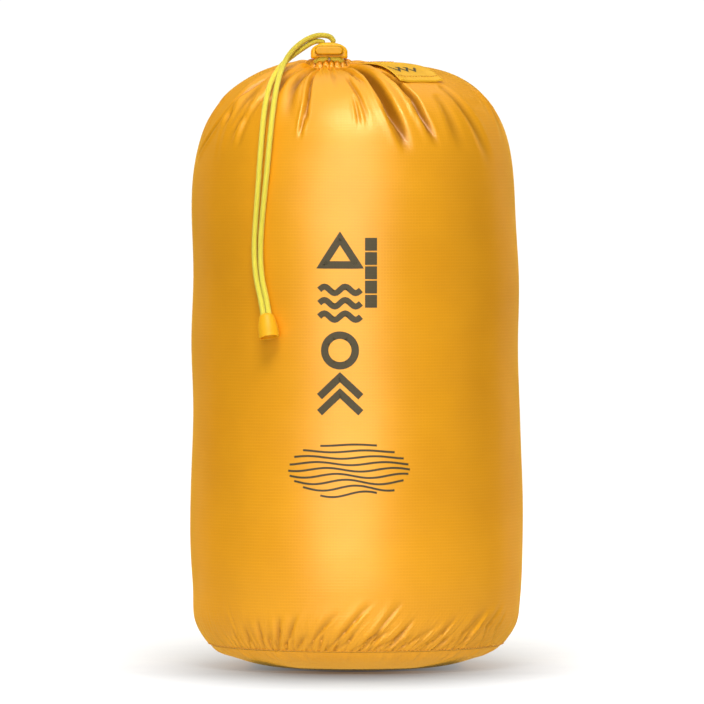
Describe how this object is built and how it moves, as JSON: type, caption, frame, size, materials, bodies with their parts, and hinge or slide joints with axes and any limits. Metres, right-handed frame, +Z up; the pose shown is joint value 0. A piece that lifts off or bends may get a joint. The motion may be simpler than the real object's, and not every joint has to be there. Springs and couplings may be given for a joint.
{
  "type": "stuff sack",
  "caption": "Round drawcord stuff sack, stuffed full and drawn shut, standing on its base with a cord lock, two cord tails in an end bell and a fabric label.",
  "frame": {"origin": "middle of the sack's base, on the surface that it stands on", "axes": "+Z up along the sack, -Y towards the side with the cord lock and the tails, +X to the right of someone who looks at that side"},
  "size_m": [0.1882, 0.1887, 0.362],
  "materials": {
    "sack_fabric": "satin coated ripstop nylon",
    "thread": "twisted polyester thread",
    "contents_fabric": "soft packed clothing",
    "cord": "braided polyester cord",
    "lock_plastic": "glossy translucent acetal",
    "bell_plastic": "smooth moulded plastic",
    "spring_steel": "bright drawn wire",
    "label_fabric": "woven label ribbon"
  },
  "bodies": {
    "sack": {"body_panel": "sack_fabric", "base_panel": "sack_fabric", "base_seam_allowance": "sack_fabric", "base_seam_stitching": "thread", "side_seam": "sack_fabric", "side_seam_stitching": "thread", "packed_contents": "contents_fabric", "drawcord_channel": "sack_fabric", "channel_stitching": "thread", "exit_bartacks": "thread", "drawcord_in_channel": "cord"},
    "cord_lock": {"lock_housing": "lock_plastic", "lock_spring": "spring_steel"},
    "lock_button": {"lock_button": "lock_plastic"},
    "cord_tails": {"drawcord_tail_left": "cord", "drawcord_tail_right": "cord", "cord_end_bell": "bell_plastic", "cord_end_plug": "bell_plastic", "cord_end_knot": "cord"},
    "label_flap": {"label": "label_fabric", "label_stitching": "thread"}
  },
  "joints": [
    {"name": "lock_slide", "type": "slide", "parent": "sack", "child": "cord_lock", "axis": [0, 0, 1], "range_m": [0, 0.02]},
    {"name": "button_press", "type": "slide", "parent": "cord_lock", "child": "lock_button", "axis": [0, 1, 0], "range_m": [0, 0.0032], "stiffness_N_per_m": 500, "springref_m": -0.004, "deforming": ["lock_spring"]},
    {"name": "tail_swing", "type": "hinge", "parent": "cord_lock", "child": "cord_tails", "pos_m": [-0.015, -0.0225, 0.356], "axis": [-1, 0, 0], "range_deg": [0, 60]},
    {"name": "label_flip", "type": "hinge", "parent": "sack", "child": "label_flap", "pos_m": [0.009, -0.0115, 0.3471], "axis": [-0.8141, -0.5807, 0], "range_deg": [0, 90]}
  ]
}
